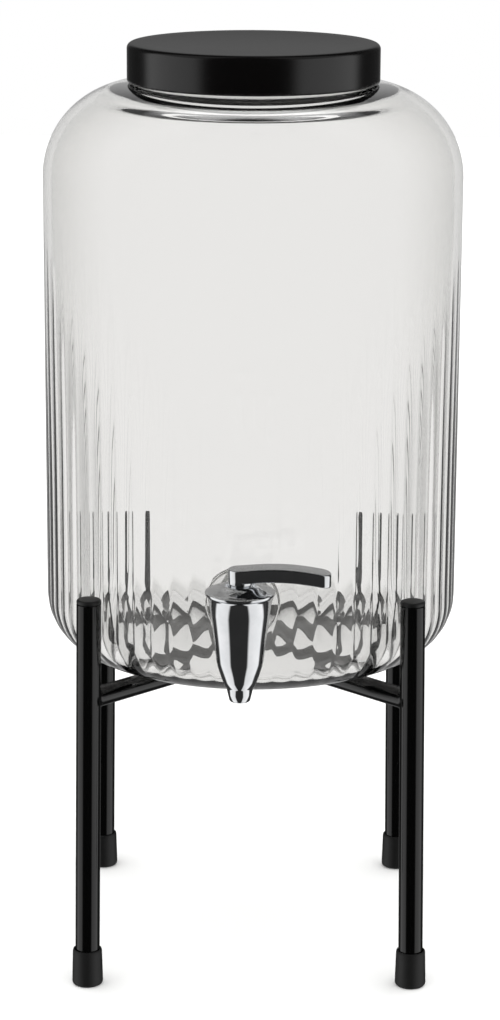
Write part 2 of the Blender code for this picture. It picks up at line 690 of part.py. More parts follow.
def main():
    for item in list(bpy.data.objects):
        bpy.data.objects.remove(item)

    glass = finish("clear_glass", (0.93, 0.95, 0.95), 0.03, transmission=1.0)
    black_steel = finish("black_enamelled_steel", (0.006, 0.006, 0.006), 0.3)
    black_lid = finish("satin_black_steel", (0.012, 0.011, 0.011), 0.38)
    black_plastic = finish("black_plastic", (0.01, 0.01, 0.01), 0.45)
    black_rubber = finish("black_rubber", (0.012, 0.012, 0.012), 0.8)
    white_rubber = finish("white_silicone", (0.75, 0.75, 0.73), 0.5)
    white_plastic = finish("white_plastic", (0.7, 0.7, 0.68), 0.4)
    chrome = finish("chrome", (0.62, 0.62, 0.63), 0.06, metallic=1.0)
    bare_steel = finish("stainless_steel", (0.5, 0.5, 0.5), 0.25, metallic=1.0)

    dispenser = empty("dispenser", (0, JAR_AXIS_Y, 0))
    jar_axis = empty("jar_axis", (0, 0, 0), dispenser, JAR_TURN)
    seal_axis = empty("seal_axis", (0, 0, 0), jar_axis)
    lid_axis = empty("lid_axis", (0, 0, 0), seal_axis)
    tap_axis = empty("tap_axis", (0, -TAP_OFFSET, TAP_HEIGHT), jar_axis)
    valve_axis = empty("valve_axis", (0, 0, 0), tap_axis)

    make_jar(glass, jar_axis)
    make_lid(black_lid, black_plastic, white_rubber, lid_axis, seal_axis)
    cutters = make_legs(black_steel, black_plastic, black_rubber, dispenser)
    make_braces(black_steel, dispenser, cutters)
    make_tap_body(chrome, tap_axis)
    make_bonnet(chrome, tap_axis)
    make_tap_fixings(white_plastic, white_rubber, tap_axis)
    plug, stem_top = make_plug(white_plastic, black_rubber, valve_axis)
    make_lever(chrome, bare_steel, valve_axis, plug, stem_top)


main()
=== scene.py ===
import json
import math

import bmesh
import bpy
from mathutils import Matrix, Vector


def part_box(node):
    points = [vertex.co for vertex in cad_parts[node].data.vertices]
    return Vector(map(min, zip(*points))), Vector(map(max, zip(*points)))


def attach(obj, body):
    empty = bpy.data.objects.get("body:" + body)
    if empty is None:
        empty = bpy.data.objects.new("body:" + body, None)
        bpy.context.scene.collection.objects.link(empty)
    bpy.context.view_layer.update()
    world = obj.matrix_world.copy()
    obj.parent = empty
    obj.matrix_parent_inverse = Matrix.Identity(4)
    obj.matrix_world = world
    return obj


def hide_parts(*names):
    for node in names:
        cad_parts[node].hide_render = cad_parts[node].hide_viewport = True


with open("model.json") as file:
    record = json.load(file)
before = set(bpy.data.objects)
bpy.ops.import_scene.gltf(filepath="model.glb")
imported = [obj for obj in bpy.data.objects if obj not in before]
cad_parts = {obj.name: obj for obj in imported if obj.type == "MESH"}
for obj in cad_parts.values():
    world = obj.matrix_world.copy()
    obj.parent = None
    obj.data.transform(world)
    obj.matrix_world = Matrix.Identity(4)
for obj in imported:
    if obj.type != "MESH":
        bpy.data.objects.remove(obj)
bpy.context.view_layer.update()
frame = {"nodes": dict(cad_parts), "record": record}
print("frame loaded")

mm = 0.001
corners = ("front_left", "front_right", "rear_left", "rear_right")
jointPlace = {joint["name"]: joint.get("pos_m") for joint in frame["record"]["behaviour"]["joints"]}
jarAxis = Vector(jointPlace["lid_turn"])
tapAxis = Vector(jointPlace["tap_turn"])


# Small helpers

def linear(hexColour):
    # an sRGB hex colour as linear RGBA
    parts = [int(hexColour[i:i + 2], 16) / 255 for i in (1, 3, 5)]
    return [p / 12.92 if p <= 0.04045 else ((p + 0.055) / 1.055) ** 2.4 for p in parts] + [1]


def addNode(tree, kind, inputs=None, **settings):
    # one node with its settings, and its inputs set to values or linked to other nodes' outputs
    node = tree.nodes.new(kind)
    for name, value in settings.items():
        setattr(node, name, value)
    for socket, value in (inputs or {}).items():
        if isinstance(value, bpy.types.NodeSocket):
            tree.links.new(value, node.inputs[socket])
        else:
            node.inputs[socket].default_value = value
    return node


def setStops(ramp, stops):
    # stops of (place, colour); the ramp starts with two
    elements = ramp.color_ramp.elements
    while len(elements) < len(stops):
        elements.new(0.5)
    for element, (place, shade) in zip(elements, stops):
        element.position = place
        element.color = linear(shade) if isinstance(shade, str) else (shade, shade, shade, 1)


def newMaterial(name):
    material = bpy.data.materials.new(name)
    material.use_nodes = True
    tree = material.node_tree
    tree.nodes.clear()
    shader = addNode(tree, "ShaderNodeBsdfPrincipled")
    addNode(tree, "ShaderNodeOutputMaterial", {"Surface": shader.outputs["BSDF"]})
    return material, tree, shader


def capitalised(nodeName):
    # front_left as FrontLeft
    return "".join(word.capitalize() for word in nodeName.split("_"))


def arcPoints(centre, radius, start, end, steps):
    # (radius, height) points of an arc, by angles in degrees from straight out
    turns = [math.radians(start + (end - start) * step / steps) for step in range(steps + 1)]
    return [(centre[0] + radius * math.cos(t), centre[1] + radius * math.sin(t)) for t in turns]


def spinForm(outline, segments):
    # a closed (radius, height) outline in mm, turned about Z
    form = bmesh.new()
    ring = [form.verts.new((radius * mm, 0, height * mm)) for radius, height in outline]
    for first, second in zip(ring, ring[1:] + ring[:1]):
        if first.co.x > 0 or second.co.x > 0:
            form.edges.new((first, second))
    bmesh.ops.spin(form, geom=form.verts[:] + form.edges[:], cent=(0, 0, 0), axis=(0, 0, 1),
                   angle=math.tau, steps=segments, use_merge=True)
    bmesh.ops.remove_doubles(form, verts=form.verts, dist=1e-6)
    return form


def makePiece(name, form, material, body, replaced, smoothAngle=35, matrix=None):
    # closes the bmesh into a finished piece that rides on a body and stands for CAD nodes
    bmesh.ops.remove_doubles(form, verts=form.verts, dist=1e-6)
    # slivers that a Boolean left open are closed, and a form left inside out is turned round
    bmesh.ops.holes_fill(form, edges=[edge for edge in form.edges if edge.is_boundary], sides=4)
    bmesh.ops.recalc_face_normals(form, faces=form.faces)
    if form.calc_volume(signed=True) < 0:
        bmesh.ops.reverse_faces(form, faces=form.faces)
    if matrix is not None:
        bmesh.ops.transform(form, matrix=matrix, verts=form.verts)
    mesh = bpy.data.meshes.new(name)
    form.to_mesh(mesh)
    form.free()
    mesh.shade_smooth()
    mesh.set_sharp_from_angle(angle=math.radians(smoothAngle))
    mesh.materials.append(material)
    piece = bpy.data.objects.new(name, mesh)
    bpy.context.scene.collection.objects.link(piece)
    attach(piece, body)
    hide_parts(*replaced)
    return piece


def cutOrJoin(form, toolForm, operation):
    # a Boolean of two closed bmeshes; both are used up
    objects = []
    for part in (form, toolForm):
        bmesh.ops.recalc_face_normals(part, faces=part.faces)
        mesh = bpy.data.meshes.new("booleanPart")
        part.to_mesh(mesh)
        part.free()
        objects.append(bpy.data.objects.new("booleanPart", mesh))
        bpy.context.scene.collection.objects.link(objects[-1])
    modifier = objects[0].modifiers.new("boolean", "BOOLEAN")
    modifier.object = objects[1]
    modifier.operation = operation
    graph = bpy.context.evaluated_depsgraph_get()
    result = bmesh.new()
    result.from_object(objects[0], graph)
    for part in objects:
        mesh = part.data
        bpy.data.objects.remove(part)
        bpy.data.meshes.remove(mesh)
    return result


def tapTurn():
    # the turn about Z that takes -Y to the tap's side of the jar
    toward = tapAxis - jarAxis
    return Matrix.Rotation(math.atan2(toward.x, -toward.y), 4, "Z")


def atTap():
    # from a form made upright at the origin, shank along +Y, to the tap's axis on the jar
    return Matrix.Translation(tapAxis) @ tapTurn()


# Studio: white paper behind and below, a soft box at each front side and dark behind the camera

studio = {
    "cameraDistance": 1.462,
    "cameraHeight": 0.610,
    "cameraPitch": 14.88,
    "lens": 106.24,
    "roll": 0.3,
    "shift": -0.0013,
    "floorSize": 6.0,
    "paperWhite": 1.0,
    "diffuseLight": 1.6,
    # what the coats and the chrome mirror: soft boxes left and right of the camera
    "coatSides": [
        (0.000, 0.030), (0.125, 0.030), (0.150, 0.95), (0.300, 1.15), (0.325, 0.05), (0.440, 0.05),
        (0.462, 0.20), (0.538, 0.20), (0.560, 0.05), (0.690, 0.05), (0.715, 1.15), (0.880, 0.95),
        (0.905, 0.030), (1.000, 0.030)],
    "coatHeights": [
        (0.00, 0.7), (0.05, 1.0), (0.70, 1.0), (0.78, 0.4), (1.00, 0.3)],
    # what the glass mirrors: dark in front, grey behind
    "glassSides": [
        (0.00, 0.03), (0.20, 0.03), (0.27, 0.30), (0.50, 0.62), (0.73, 0.30), (0.80, 0.03),
        (1.00, 0.03)],
    "glassHeights": [
        (0.00, 1.0), (0.96, 1.0), (0.98, 0.1), (1.00, 0.1)],
    # and a light high up behind, which draws the bright line under the lid
    "topLightSides": [
        (0.00, 0.0), (0.39, 0.0), (0.42, 5.5), (0.58, 5.5), (0.61, 0.0), (1.00, 0.0)],
    "topLightHeights": [
        (0.00, 0.0), (0.86, 0.0), (0.92, 1.0), (0.965, 1.0), (0.98, 0.0), (1.00, 0.0)],
    "throughGlass": "#f1f0ee",
    "throughGlassMirrored": "#969593",
    "wallsCrossed": 3.5,
}


def makeSurround(tree, share, height, sideStops, heightStops):
    # what a shiny surface sees: brightness round the object times brightness up and down
    sides = addNode(tree, "ShaderNodeValToRGB", {"Fac": share})
    setStops(sides, sideStops)
    heights = addNode(tree, "ShaderNodeValToRGB", {"Fac": height})
    setStops(heights, heightStops)
    both = addNode(tree, "ShaderNodeVectorMath", {
        0: sides.outputs["Color"], 1: heights.outputs["Color"]}, operation="MULTIPLY")
    return both.outputs["Vector"]


def makeStudio():
    scene = bpy.context.scene
    scene.view_settings.view_transform = "Standard"
    scene.cycles.use_denoising = True
    scene.cycles.max_bounces = 24
    scene.cycles.transmission_bounces = 24

    camera = bpy.data.objects.new("camera", bpy.data.cameras.new("camera"))
    camera.data.lens = studio["lens"]
    camera.data.sensor_width = 36
    camera.data.clip_end = 50
    camera.data.shift_x = studio["shift"]
    camera.matrix_world = (
        Matrix.Translation((0, jarAxis.y - studio["cameraDistance"], studio["cameraHeight"]))
        @ Matrix.Rotation(math.radians(90 - studio["cameraPitch"]), 4, "X")
        @ Matrix.Rotation(math.radians(studio["roll"]), 4, "Z"))
    scene.collection.objects.link(camera)
    scene.camera = camera

    world = bpy.data.worlds.new("studio")
    world.use_nodes = True
    scene.world = world
    tree = world.node_tree
    tree.nodes.clear()
    place = addNode(tree, "ShaderNodeTexCoord")
    axes = addNode(tree, "ShaderNodeSeparateXYZ", {0: place.outputs["Generated"]})
    # the direction round the object: 0.5 behind it, 0 and 1 towards the camera
    around = addNode(tree, "ShaderNodeMath", {0: axes.outputs["X"], 1: axes.outputs["Y"]},
                     operation="ARCTAN2")
    share = addNode(tree, "ShaderNodeMapRange", {
        "Value": around.outputs[0], "From Min": -math.pi, "From Max": math.pi})
    height = addNode(tree, "ShaderNodeMapRange", {
        "Value": axes.outputs["Z"], "From Min": -1.0, "From Max": 1.0})
    coatView = makeSurround(tree, share.outputs[0], height.outputs[0], studio["coatSides"],
                            studio["coatHeights"])
    glassView = makeSurround(tree, share.outputs[0], height.outputs[0], studio["glassSides"],
                             studio["glassHeights"])

    topLight = makeSurround(tree, share.outputs[0], height.outputs[0], studio["topLightSides"],
                            studio["topLightHeights"])
    glassView = addNode(tree, "ShaderNodeVectorMath", {0: glassView, 1: topLight}).outputs[0]

    # the paper seen through the glass, and darker where the chrome mirrors the glass
    ray = addNode(tree, "ShaderNodeLightPath")
    mirrored = addNode(tree, "ShaderNodeMath", {
        0: ray.outputs["Glossy Depth"], 1: 1.0, 2: 0.5}, operation="COMPARE")
    crossed = addNode(tree, "ShaderNodeMath", {
        0: ray.outputs["Transmission Depth"], 1: studio["wallsCrossed"]},
        operation="GREATER_THAN")
    both = addNode(tree, "ShaderNodeMath", {0: mirrored.outputs[0], 1: crossed.outputs[0]},
                   operation="MULTIPLY")
    through = addNode(tree, "ShaderNodeValToRGB", {"Fac": both.outputs[0]})
    setStops(through, [(0.0, studio["throughGlass"]), (1.0, studio["throughGlassMirrored"])])

    white = linear("#ffffff")
    views = [addNode(tree, "ShaderNodeBackground", {"Color": colour, "Strength": strength})
             for colour, strength in (
                 (white, studio["paperWhite"]), (coatView, 1.0), (glassView, 1.0),
                 (white, studio["diffuseLight"]), (through.outputs["Color"], 1.0))]
    shown = views[0]
    for kind, view in zip(("Is Reflection Ray", "Is Singular Ray", "Is Diffuse Ray",
                           "Is Transmission Ray"), views[1:]):
        shown = addNode(tree, "ShaderNodeMixShader", {
            0: ray.outputs[kind], 1: shown.outputs[0], 2: view.outputs[0]})
    addNode(tree, "ShaderNodeOutputWorld", {"Surface": shown.outputs[0]})

    # matt white paper, very slightly uneven
    material, tree, shader = newMaterial("matt_paper")
    place = addNode(tree, "ShaderNodeTexCoord")
    cloud = addNode(tree, "ShaderNodeTexNoise", {"Vector": place.outputs["Object"], "Scale": 3.0})
    tone = addNode(tree, "ShaderNodeValToRGB", {"Fac": cloud.outputs["Fac"]})
    setStops(tone, [(0.3, "#f7f7f6"), (0.7, "#fbfbfa")])
    tree.links.new(tone.outputs[0], shader.inputs["Base Color"])
    shader.inputs["Roughness"].default_value = 0.9
    shader.inputs["Specular IOR Level"].default_value = 0.0
    form = bmesh.new()
    bmesh.ops.create_grid(form, x_segments=8, y_segments=8, size=studio["floorSize"] / 2)
    mesh = bpy.data.meshes.new("floor")
    form.to_mesh(mesh)
    form.free()
    mesh.materials.append(material)
    floor = bpy.data.objects.new("floor", mesh)
    scene.collection.objects.link(floor)
    # the glass and the chrome show the studio's own brightness instead of the floor
    floor.visible_glossy = False
    floor.visible_transmission = False


# Materials

def pressedGlass():
    # soda-lime glass pressed in a mould and fire polished: clear, with a painted shade in its
    # colour that greys it where seen edge on, and a faint slow waviness from the mould
    material, tree, shader = newMaterial("pressed_soda_lime_glass")
    # painted shade: the colour greys as the surface turns edge on to the view, standing in for the
    # darker sides that refraction of the dark studio gives the jar
    facing = addNode(tree, "ShaderNodeLayerWeight", {"Blend": 0.5})
    paintedEdgeShade = addNode(tree, "ShaderNodeValToRGB", {"Fac": facing.outputs["Facing"]})
    setStops(paintedEdgeShade, [
        (0.30, "#ffffff"), (0.60, "#f3f3f2"), (0.85, "#e5e6e5"), (0.98, "#d3d5d4")])
    place = addNode(tree, "ShaderNodeTexCoord")
    waves = addNode(tree, "ShaderNodeTexNoise", {
        "Vector": place.outputs["Object"], "Scale": 22.0, "Detail": 1.0, "Roughness": 0.3})
    bump = addNode(tree, "ShaderNodeBump", {
        "Strength": 0.06, "Distance": 0.002, "Height": waves.outputs["Fac"]})
    tree.links.new(paintedEdgeShade.outputs[0], shader.inputs["Base Color"])
    tree.links.new(bump.outputs[0], shader.inputs["Normal"])
    shader.inputs["Roughness"].default_value = 0.0
    shader.inputs["IOR"].default_value = 1.5
    shader.inputs["Transmission Weight"].default_value = 1.0
    return material


def coatedSteel(name, shade, roughness, grain, depth):
    # steel with a stoved black powder coat: a smooth skin with faint orange peel
    material, tree, shader = newMaterial(name)
    place = addNode(tree, "ShaderNodeTexCoord")
    peel = addNode(tree, "ShaderNodeTexNoise", {
        "Vector": place.outputs["Object"], "Scale": 1 / (grain * mm), "Detail": 2.0})
    bump = addNode(tree, "ShaderNodeBump", {
        "Strength": depth, "Distance": 0.0001, "Height": peel.outputs["Fac"]})
    tone = addNode(tree, "ShaderNodeValToRGB", {"Fac": peel.outputs["Fac"]})
    setStops(tone, [(0.35, shade[0]), (0.65, shade[1])])
    rough = addNode(tree, "ShaderNodeMapRange", {
        "Value": peel.outputs["Fac"], "To Min": roughness * 0.92, "To Max": roughness * 1.08})
    tree.links.new(tone.outputs[0], shader.inputs["Base Color"])
    tree.links.new(bump.outputs[0], shader.inputs["Normal"])
    tree.links.new(rough.outputs[0], shader.inputs["Roughness"])
    shader.inputs["IOR"].default_value = 1.5
    return material


def polishedChrome():
    # chromium plated on buffed zinc: a cool mirror, with the buffing wheel's faint uneven pull
    material, tree, shader = newMaterial("polished_chrome_plate")
    place = addNode(tree, "ShaderNodeTexCoord")
    pull = addNode(tree, "ShaderNodeTexNoise", {
        "Vector": place.outputs["Object"], "Scale": 160.0, "Detail": 2.0})
    rough = addNode(tree, "ShaderNodeMapRange", {
        "Value": pull.outputs["Fac"], "To Min": 0.03, "To Max": 0.07})
    tone = addNode(tree, "ShaderNodeValToRGB", {"Fac": pull.outputs["Fac"]})
    setStops(tone, [(0.3, "#d9dbdd"), (0.7, "#e3e4e6")])
    tree.links.new(tone.outputs[0], shader.inputs["Base Color"])
    tree.links.new(rough.outputs[0], shader.inputs["Roughness"])
    shader.inputs["Metallic"].default_value = 1.0
    return material


def mouldedPolymer(name, shade, roughness, grain):
    # moulded plastic or rubber: one colour with a fine spark-eroded grain
    material, tree, shader = newMaterial(name)
    place = addNode(tree, "ShaderNodeTexCoord")
    speck = addNode(tree, "ShaderNodeTexNoise", {
        "Vector": place.outputs["Object"], "Scale": 1 / (grain * mm), "Detail": 3.0})
    bump = addNode(tree, "ShaderNodeBump", {
        "Strength": 0.15, "Distance": 0.0001, "Height": speck.outputs["Fac"]})
    tone = addNode(tree, "ShaderNodeValToRGB", {"Fac": speck.outputs["Fac"]})
    setStops(tone, [(0.35, shade[0]), (0.65, shade[1])])
    tree.links.new(tone.outputs[0], shader.inputs["Base Color"])
    tree.links.new(bump.outputs[0], shader.inputs["Normal"])
    shader.inputs["Roughness"].default_value = roughness
    return material


# Jar

jar = {
    "ribs": 64,
    "stepsPerRib": 8,
    "ribDepth": 0.8,
    "ribFull": 225.0,
    "ribHeelEnd": 62,
    "ribGone": 372.0,
    "wall": 4.2,
    "floor": 7.5,
    "heel": 28.7,
    "heelEven": 50,
    "shoulder": 45.0,
    "neck": 55.6,
    "bore": 50.6,
    "neckFillet": 1.5,
    "neckHeight": 13.6,
    "neckThickening": 2.2,
    "thickeningLean": 18,
    "shoulderStep": 1.0,
    "stepLean": (25, 33),
    "neckBend": 4.0,
    "rimRound": 1.5,
    "punt": 3.5,
    "puntCurve": ((0.0, 1.0), (0.35, 0.97), (0.6, 0.85), (0.85, 0.55), (1.0, 0.2)),
    "baseRing": 12.0,
    "wallRows": 36,
    "padRadius": 17.5,
    "padRound": 0.8,
    "padFace": 103.0,
    "padBack": 95.7,
    "holeRadius": 8.5,
    "holePast": 5.0,
    "padSegments": 96,
    "threadStarts": 4,
    "threadLead": 24.0,
    "threadSpan": 100,
    "threadHeight": 1.6,
    "threadWidth": 2.4,
    "threadRoot": 1.0,
    "threadCrest": 0.5,
    "threadLowest": 0.1,
    "threadFade": 8,
    "threadStart": 4.8,
    "threadSteps": 48,
}


def jarOutline(base, top, radius):
    heelCentre = (radius - jar["heel"], base + jar["heel"])
    shoulderCentre = (radius - jar["shoulder"], top - jar["shoulder"])
    punt = heelCentre[0] - jar["baseRing"]
    rim = top + jar["neckHeight"]
    outline = [(punt * out, base + jar["punt"] * up) for out, up in jar["puntCurve"]]
    outline.append((punt + jar["punt"], base))
    outline += arcPoints(heelCentre, jar["heel"], -90, 0, 20)
    rise = shoulderCentre[1] - heelCentre[1]
    rows = [heelCentre[1] + rise * step / jar["wallRows"] for step in range(1, jar["wallRows"])]
    outline += [(radius, row) for row in rows]
    outline += arcPoints(shoulderCentre, jar["shoulder"], 0, 90, 28)
    neckFoot = (jar["neck"] + jar["neckFillet"], top + jar["neckFillet"])
    rimTurn = jar["rimRound"]
    outline += arcPoints(neckFoot, jar["neckFillet"], -90, -180, 4)
    outline.append((jar["neck"], (neckFoot[1] + rim) / 2))
    outline += arcPoints((jar["neck"] - rimTurn, rim - rimTurn), rimTurn, 0, 90, 4)
    outline += arcPoints((jar["bore"] + rimTurn, rim - rimTurn), rimTurn, 90, 180, 4)
    # the wall thickens towards the neck, with closer rows where the shoulder steps in
    inner = []
    for lean in [1.5 * step for step in range(24)] + list(range(36, 91, 3)):
        thick = jar["wall"] + jar["neckThickening"] * max(0, 1 - lean / jar["thickeningLean"]) ** 1.5
        spread = jar["shoulder"] - thick
        inner.append((shoulderCentre[0] + spread * math.sin(math.radians(lean)),
                      shoulderCentre[1] + spread * math.cos(math.radians(lean))))
    bend = jar["neckBend"]
    outline += arcPoints((jar["bore"] + bend, inner[0][1] + bend), bend, 180, 262, 6)
    outline += inner
    # and again under the heel, towards the floor
    for lean in range(0, 91, 5):
        turn, share = math.radians(lean), max(0, (lean - jar["heelEven"]) / (90 - jar["heelEven"]))
        thick = jar["wall"] + (jar["floor"] - jar["wall"]) * share * share * (3 - 2 * share)
        outline.append((heelCentre[0] + (jar["heel"] - thick) * math.cos(turn),
                        heelCentre[1] - (jar["heel"] - thick) * math.sin(turn)))
    outline.append((0, base + jar["floor"]))
    return outline


def ribReach(height):
    # how deep the ribs are at a height: full near the base, nothing high up the wall
    high = min(1, max(0, (jar["ribGone"] - height) / (jar["ribGone"] - jar["ribFull"])))
    return jar["ribDepth"] * high * high * (3 - 2 * high)


def pressRibs(form, radius, base):
    # the ribs run down the wall and die out as the heel turns under
    heelIn, heelUp = radius - jar["heel"] * mm, base + jar["heel"] * mm
    for vert in form.verts:
        across = math.hypot(vert.co.x, vert.co.y)
        lean = math.atan2(heelUp - vert.co.z, across - heelIn) if vert.co.z < heelUp else 0
        onHeel = abs(math.hypot(across - heelIn, vert.co.z - heelUp) - jar["heel"] * mm) < 1e-5
        if not (onHeel if lean > 0 else across > radius - 1e-5):
            continue
        fade = max(0, 1 - (lean / math.radians(jar["ribHeelEnd"])) ** 2)
        turn = math.atan2(vert.co.y, vert.co.x) * jar["ribs"] / 2
        sink = ribReach(vert.co.z / mm) * mm * fade * (1 - abs(math.cos(turn)))
        vert.co.xy *= (across - sink * math.cos(lean)) / across
        vert.co.z += sink * math.sin(lean)


def pressShoulder(form, radius, top):
    # inside, the shoulder steps in softly towards the neck, most at the jar's front and back
    stepLow, stepHigh = jar["stepLean"]
    shoulder = jar["shoulder"] * mm
    for vert in form.verts:
        across = vert.co.xy.length
        out, up = max(0, across - radius + shoulder), vert.co.z - top + shoulder
        reach = math.hypot(out, up)
        if up <= 0 or reach > shoulder - jar["wall"] / 2 * mm:
            continue
        share = (stepHigh - math.degrees(math.atan2(out, up))) / (stepHigh - stepLow)
        share = min(1, max(0, share))
        step = jar["shoulderStep"] * mm * share * share * (3 - 2 * share)
        step *= (vert.co.y / across) ** 2
        vert.co.xy *= 1 - step * out / reach / across
        vert.co.z -= step * up / reach


def threadRidge(number, foot):
    # one start of the neck's thread, low at both ends
    half, root = jar["threadWidth"] / 2, jar["neck"] - jar["threadRoot"]
    crest = jar["neck"] + jar["threadHeight"]
    flat = half * jar["threadCrest"]
    section = [(root, -half), (crest, -flat), (crest, flat), (root, half)]
    form = bmesh.new()
    verts = [form.verts.new((radius * mm, 0, (foot + height) * mm)) for radius, height in section]
    face = form.faces.new(verts)
    span, steps = math.radians(jar["threadSpan"]), jar["threadSteps"]
    rise = jar["threadLead"] * span / math.tau / steps
    bmesh.ops.spin(form, geom=[face], cent=(0, 0, 0), axis=(0, 0, 1), dvec=(0, 0, rise * mm),
                   angle=span, steps=steps)
    for vert in form.verts:
        share = math.atan2(vert.co.y, vert.co.x) / span
        across = vert.co.xy.length
        fade = min(1, jar["threadLowest"] + jar["threadFade"] * min(share, 1 - share))
        if across > jar["neck"] * mm:
            vert.co.xy *= (root * mm + (across - root * mm) * fade) / across
    start = Matrix.Rotation(math.tau * number / jar["threadStarts"], 4, "Z")
    bmesh.ops.transform(form, matrix=start, verts=form.verts)
    return form


def alongTap(outline):
    # a form turned about the tap's shank, which points at -Y from the jar's axis
    form = spinForm(outline, jar["padSegments"])
    lay = Vector((0, -1, 0)).to_track_quat("Z", "X").to_matrix().to_4x4()
    bmesh.ops.transform(form, matrix=Matrix.Translation((0, 0, tapAxis.z)) @ lay, verts=form.verts)
    return form


def makeJar(glass):
    low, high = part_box("glass_jar")
    base, radius = low.z / mm, (high.y - jarAxis.y) / mm
    top = high.z / mm - jar["neckHeight"]
    form = spinForm(jarOutline(base, top, radius), jar["ribs"] * jar["stepsPerRib"])
    pressRibs(form, radius * mm, low.z)
    pressShoulder(form, radius * mm, top * mm)
    wide, turnedEdge, face = jar["padRadius"], jar["padRound"], jar["padFace"]
    pad = alongTap(
        [(0, jar["padBack"]), (wide - turnedEdge, jar["padBack"]), (wide, jar["padBack"] + turnedEdge)]
        + arcPoints((wide - turnedEdge, face - turnedEdge), turnedEdge, 0, 90, 5) + [(0, face)])
    form = cutOrJoin(form, pad, "UNION")
    hole, back, front = jar["holeRadius"], jar["padBack"] - jar["holePast"], face + jar["holePast"]
    form = cutOrJoin(form, alongTap([(0, back), (hole, back), (hole, front), (0, front)]), "DIFFERENCE")
    for number in range(jar["threadStarts"]):
        form = cutOrJoin(form, threadRidge(number, top + jar["threadStart"]), "UNION")
    makePiece("glassJar", form, glass, "jar", ["glass_jar"], 32,
              Matrix.Translation((0, jarAxis.y, 0)) @ tapTurn())
    print("jar made")


# Lid

lid = {
    "wall": 1.2,
    "round": 2.6,
    "dish": 0.25,
    "hem": 0.9,
    "dishRadius": 12.0,
    "rimRadius": 9.0,
    "skirtTop": 8.0,
    "hemTop": 2.2,
    "insideRound": 2.0,
    "segments": 192,
}


def makeLid(lacquer):
    low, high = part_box("lid_shell")
    radius, bottom, top = high.x / mm, low.z / mm, high.z / mm
    ceiling = top - lid["wall"]
    inner, bend = radius - lid["wall"], lid["insideRound"]
    outline = [(0, top - lid["dish"]), (radius - lid["dishRadius"], top - lid["dish"]),
               (radius - lid["rimRadius"], top)]
    outline += arcPoints((radius - lid["round"], top - lid["round"]), lid["round"], 90, 0, 10)
    outline += [(radius, top - lid["skirtTop"]), (radius, bottom + lid["hemTop"])]
    outline += arcPoints((radius - lid["hem"], bottom + lid["hem"]), lid["hem"], 0, -180, 8)
    outline += [(radius - 2 * lid["hem"], bottom + lid["hemTop"] - 0.2),
                (inner, bottom + lid["hemTop"] + 0.1), (inner, ceiling - bend),
                (inner - bend, ceiling), (0, ceiling - lid["dish"])]
    form = spinForm(outline, lid["segments"])
    makePiece("lidShell", form, lacquer, "lid", ["lid_shell"], 30,
              Matrix.Translation((0, jarAxis.y, 0)))
    print("lid made")


# Stand

stand = {
    "legRadius": 6.0,
    "legWall": 1.2,
    "capRound": 1.1,
    "capThickness": 2.0,
    "capStem": 8.0,
    "gap": 0.3,
    "tubeEdge": 0.2,
    "footTop": 7.2,
    "footFoot": 7.6,
    "footRound": 1.6,
    "footHeight": 18.5,
    "footSole": 3.3,
    "soleRing": [(0, 0.0), (3.0, 0.0), (3.4, 0.4), (4.6, 0.4), (5.0, 0.0)],
    "braceRadius": 5.0,
    "weld": 1.4,
    "weldRise": 1.3,
    "weldOverlap": 0.4,
    "segments": 64,
}


def legLine(corner):
    # the leg's middle line, as a point on the floor and the turn that leans it
    low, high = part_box(f"foot_{corner}")
    footMiddle = (low + high) / 2
    low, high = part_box(f"cap_{corner}")
    capMiddle = (low + high) / 2
    along = (capMiddle - footMiddle).normalized()
    start = footMiddle - along * (footMiddle.z / along.z)
    return start, along


def legMatrix(corner):
    start, along = legLine(corner)
    return Matrix.Translation(start) @ along.to_track_quat("Z", "Y").to_matrix().to_4x4()


def makeStand(powder, plastic, rubber):
    radius, gap, edge = stand["legRadius"], stand["gap"], stand["tubeEdge"]
    bore = radius - stand["legWall"]
    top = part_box("cap_front_left")[1].z / mm
    capFoot = top - stand["capThickness"]
    low, high = stand["footSole"] + gap, capFoot - gap
    stem, stemFoot = bore - gap, capFoot - stand["capStem"]
    capRound, footRound = stand["capRound"], stand["footRound"]
    wide, narrow, tall = stand["footFoot"], stand["footTop"], stand["footHeight"]
    for corner in corners:
        side = capitalised(corner)
        tube = spinForm([
            (bore, low), (radius - edge, low), (radius, low + edge), (radius, (low + capFoot) / 2),
            (radius, high - edge), (radius - edge, high), (bore, high)], stand["segments"])
        makePiece(f"legTube{side}", tube, powder, "stand", [f"leg_{corner}"], 35,
                  legMatrix(corner))
        cap = spinForm(
            [(0, stemFoot), (stem - 0.6, stemFoot), (stem, stemFoot + 1), (stem, capFoot),
             (radius - 0.15, capFoot), (radius, capFoot + 0.15)]
            + arcPoints((radius - capRound, top - capRound), capRound, 0, 90, 6)
            + [(0, top)], stand["segments"])
        makePiece(f"legCap{side}", cap, plastic, "stand", [f"cap_{corner}"], 35,
                  legMatrix(corner))
        footLow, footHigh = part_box(f"foot_{corner}")
        middle = (footLow + footHigh) / 2
        foot = spinForm(
            stand["soleRing"] + arcPoints((wide - footRound, footRound), footRound, -90, 0, 6)
            + [(wide - 0.05, 5.0), (narrow + 0.1, 14.0), (narrow, tall - 1.0),
               (narrow - 0.25, tall - 0.3), (narrow - 0.6, tall), (radius + 0.35, tall),
               (radius + gap, tall - 0.3), (radius + gap, stand["footSole"]),
               (0, stand["footSole"])], stand["segments"])
        makePiece(f"foot{side}", foot, rubber, "stand", [f"foot_{corner}"], 40,
                  Matrix.Translation((middle.x, middle.y, 0)))
    braceHeight = sum(corner.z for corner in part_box("brace_long")) / 2
    for node, start, end in (("brace_long", "front_left", "rear_right"),
                             ("brace_half_front", None, "front_right"),
                             ("brace_half_rear", None, "rear_left")):
        makeBrace(node, start, end, braceHeight, powder)
    print("stand made")


